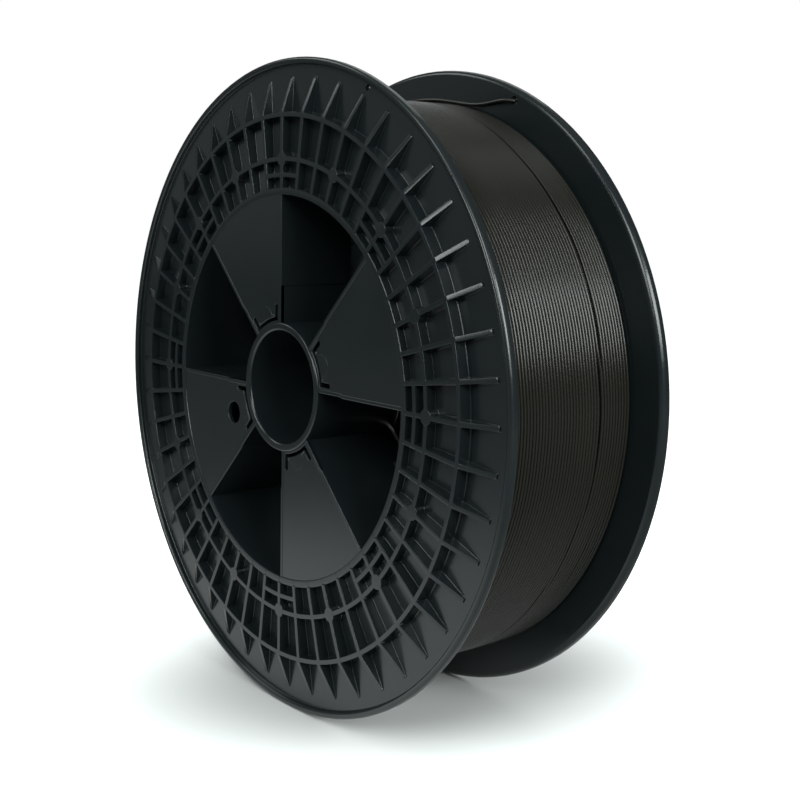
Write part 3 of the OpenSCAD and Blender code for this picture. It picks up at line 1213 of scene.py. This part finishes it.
@dataclass
class Studio:
    """The camera, the white floor and the soft lights."""

    position: Triple = (0.501577, -0.380782, 0.083892)
    azimuth: float = 51.288
    elevation: float = 4.049
    roll: float = 0.702
    lens_mm: float = 59.209
    shift: Pair = (-0.000625, -0.12709)
    floor_z: float = -0.150
    floor_half_m: float = 6.0
    light_colour: Triple = (0.93, 1.0, 0.975)
    world_strength: float = 0.085
    # Paper colour for bounced rays beyond the painted pool of light, darker than near the spool
    paper: float = 0.75
    paper_past_painted_pool: float = 0.2
    # Strength of the painted glow that glossy surfaces see over the pool: a painted reflection
    painted_glow: float = 0.3
    # Band under the spool, between the flanges, where the painted glow is left out as painted shade
    gap_under_m: Pair = (2.2, 3.2)
    gap_flat: float = 0.02
    # Middle and reach of the painted pool of light in the paper's colour and in its glow
    painted_pool_m: Pair = (-0.09, -0.09)
    painted_pool_reach_m: Pair = (0.08, 0.42)
    # Oval about the spool inside which the camera's white is left out, so the real shadow shows;
    # its fade paints the shadow's outer edge
    shadow_m: Pair = (0.002, 0.014)
    shadow_long: float = 1.3
    shadow_turn: float = -20.0
    shadow_reach_m: Pair = (0.045, 0.15)

    def camera(self) -> None:
        """Makes the camera."""
        a, e, r = (math.radians(x) for x in (self.azimuth, self.elevation, self.roll))
        back = Vector((math.sin(a) * math.cos(e), -math.cos(a) * math.cos(e), math.sin(e)))
        level = Vector((math.cos(a), math.sin(a), 0))
        upright = back.cross(level)
        right = level * math.cos(r) + upright * math.sin(r)
        up = upright * math.cos(r) - level * math.sin(r)
        turn = Matrix((right, up, back)).transposed().to_4x4()
        data = bpy.data.cameras.new("camera")
        data.lens = self.lens_mm
        data.sensor_width = 36
        data.shift_x, data.shift_y = self.shift
        data.clip_start, data.clip_end = 0.01, 50
        made = bpy.data.objects.new("camera", data)
        made.matrix_world = Matrix.Translation(self.position) @ turn
        bpy.context.scene.collection.objects.link(made)
        bpy.context.scene.camera = made

    def fade(
        self, tree: NodeTree, centre: Pair, long: float, turn: float, reach: Pair, values: Pair
    ) -> NodeSocket:
        """Adds a soft oval on the floor.

        Args:
            tree: The floor's node tree.
            centre: The oval's middle, in metres.
            long: Its length along y as a share of its width.
            turn: Its turn about z in degrees.
            reach: Distances across x at which the fade starts and ends, in metres.
            values: Values inside and outside.

        Returns:
            The socket with the value.
        """
        where = {"Vector": add_node(tree, "ShaderNodeTexCoord").outputs["Object"]}
        place = {
            "Location": (*centre, self.floor_z),
            "Rotation": (0, 0, math.radians(turn)),
            "Scale": (1, long, 1),
        }
        placed = add_node(tree, "ShaderNodeMapping", {"vector_type": "TEXTURE"}, place, where)
        length, placed_at = {"operation": "LENGTH"}, {0: placed.outputs[0]}
        away = add_node(tree, "ShaderNodeVectorMath", length, links=placed_at).outputs["Value"]
        soft = {"interpolation_type": "SMOOTHSTEP"}
        limits = {1: reach[0], 2: reach[1], 3: values[0], 4: values[1]}
        return add_node(tree, "ShaderNodeMapRange", soft, limits, {0: away}).outputs[0]

    def floor(self) -> None:
        """Makes the white floor, which keeps the soft shadow."""
        mesh = bpy.data.meshes.new("floor")
        half, z = self.floor_half_m, self.floor_z
        corners = [(-half, -half, z), (half, -half, z), (half, half, z), (-half, half, z)]
        mesh.from_pydata(corners, [], [(0, 1, 2, 3)])
        material = bpy.data.materials.new("white_paper_sweep")
        material.use_nodes = True
        tree = material.node_tree
        # Matt white paper. Its colour for rays that bounce is a painted pool of light: pale near
        # the spool and darker beyond it. For the camera it turns white a hand's breadth away from
        # the spool, so that it meets the white backdrop without a line; near the spool the lamps'
        # real shadow shows, and where the white fades in, the shadow's outer edge is painted.
        # Glossy surfaces see a painted glow over the pool, a painted reflection, which is left
        # out under the spool as painted shade.
        path = add_node(tree, "ShaderNodeLightPath")
        to_camera = path.outputs["Is Camera Ray"]
        painted_pool = self.fade(tree, self.painted_pool_m, 1.0, 0.0, self.painted_pool_reach_m, (1.0, 0.0))
        oval = (self.shadow_m, self.shadow_long, self.shadow_turn, self.shadow_reach_m)
        # The camera's white fades in round the spool; this fade paints the shadow's outer edge
        white = self.fade(tree, *oval, (0.0, 1.0))
        middle, shown = (0.0, 0.0), (0.0, self.painted_glow)
        # The painted glow is left out under the spool, between the flanges: painted shade
        in_front = self.fade(tree, middle, self.gap_flat, 0.0, self.gap_under_m, shown)
        dim = {3: self.paper_past_painted_pool, 4: self.paper}
        painted_pool_tone = add_node(tree, "ShaderNodeMapRange", values=dim, links={0: painted_pool}).outputs[0]
        inputs = {0: to_camera, 3: painted_pool_tone}
        tone = add_node(tree, "ShaderNodeMapRange", values={4: self.paper}, links=inputs)
        paper = add_node(tree, "ShaderNodeBsdfDiffuse", links={"Color": tone.outputs[0]})
        times = {"operation": "MULTIPLY"}
        seen = add_node(tree, "ShaderNodeMath", times, links={0: to_camera, 1: white}).outputs[0]
        # Glossy rays see a painted glow over the pool: a painted reflection
        inputs = {0: path.outputs["Is Glossy Ray"], 1: painted_pool}
        glossy_glow = add_node(tree, "ShaderNodeMath", times, links=inputs).outputs[0]
        inputs = {0: glossy_glow, 1: in_front, 2: seen}
        sum_up = {"operation": "MULTIPLY_ADD"}
        strength = {"Strength": add_node(tree, "ShaderNodeMath", sum_up, links=inputs).outputs[0]}
        colour = {"Color": (*self.light_colour, 1)}
        glow = add_node(tree, "ShaderNodeEmission", values=colour, links=strength)
        inputs = {0: paper.outputs[0], 1: glow.outputs[0]}
        both = add_node(tree, "ShaderNodeAddShader", links=inputs)
        tree.links.new(both.outputs[0], tree.nodes["Material Output"].inputs["Surface"])
        mesh.materials.append(material)
        made = bpy.data.objects.new("floor", mesh)
        bpy.context.scene.collection.objects.link(made)

    def world(self) -> None:
        """Makes the even surroundings, white to the camera."""
        world = bpy.data.worlds.new("studio")
        bpy.context.scene.world = world
        world.use_nodes = True
        tree = world.node_tree
        background = tree.nodes["Background"]
        background.inputs["Color"].default_value = (1, 1, 1, 1)
        to_camera = {0: add_node(tree, "ShaderNodeLightPath").outputs["Is Camera Ray"]}
        levels = {3: self.world_strength, 4: 1.0}
        strength = add_node(tree, "ShaderNodeMapRange", values=levels, links=to_camera)
        tree.links.new(strength.outputs[0], background.inputs["Strength"])

    def lamp(
        self, name: str, azimuth: float, elevation: float, away: float, size: tuple, power: float
    ) -> None:
        """Makes a soft rectangular lamp that faces the spool.

        Args:
            name: Its name.
            azimuth: Its angle in degrees, from the front towards the right.
            elevation: Its angle in degrees above the spool's axis.
            away: Its distance from the spool, in metres.
            size: Its width and height.
            power: Its power in watts.
        """
        data = bpy.data.lights.new(name, "AREA")
        data.shape = "RECTANGLE"
        data.size, data.size_y = size
        data.energy = power
        data.color = self.light_colour
        a, e = math.radians(azimuth), math.radians(elevation)
        towards = Vector((math.sin(a) * math.cos(e), -math.cos(a) * math.cos(e), math.sin(e)))
        place = towards * away
        made = bpy.data.objects.new(name, data)
        made.location = place
        made.rotation_euler = (-place).to_track_quat("-Z", "Y").to_euler()
        bpy.context.scene.collection.objects.link(made)

    def build(self) -> None:
        """Makes the floor, the surroundings and the lamps."""
        self.floor()
        self.world()
        self.lamp("overhead", 40, 88, 1.7, (1.9, 1.9), 1.5)
        self.lamp("key_right_front", 38, 33, 1.7, (0.7, 0.65), 11)
        self.lamp("high_left_front", 350, 46, 1.7, (0.5, 0.6), 4)
        self.lamp("strip_left_front", 345, 14, 1.7, (0.35, 0.5), 5)
        self.lamp("low_left", 304, 7, 1.7, (0.9, 0.45), 0.16)
        self.lamp("edge_left", 300, 40, 1.7, (0.6, 0.6), 3)
        self.lamp("strip_right", 93, 23, 1.7, (1.3, 0.66), 28)
        self.lamp("fill_back", 225, 42, 1.8, (0.9, 0.9), 2)
        bpy.context.scene.view_settings.view_transform = "Standard"


def main() -> None:
    """Builds the camera, the free end, the spool and the studio, in that order."""
    logging.basicConfig(level=logging.INFO, format="%(message)s")
    studio = Studio()
    studio.camera()
    filament = ExtrudedFilament().build()
    plastic = MouldedPolystyrene().build()
    FreeEnd().build(filament)
    front = SpoolMoulding("front_moulding", Side.FRONT, "front_half", 67.2)
    rear = SpoolMoulding("rear_moulding", Side.REAR, "rear_half", 180 - 66.3)
    for part, finish in ((front, plastic), (rear, plastic), (WoundFilament(), filament)):
        piece = part.build(finish)
        log.info("%s: %d faces", piece.name, len(piece.data.polygons))
    studio.build()


if __name__ == "__main__":
    main()
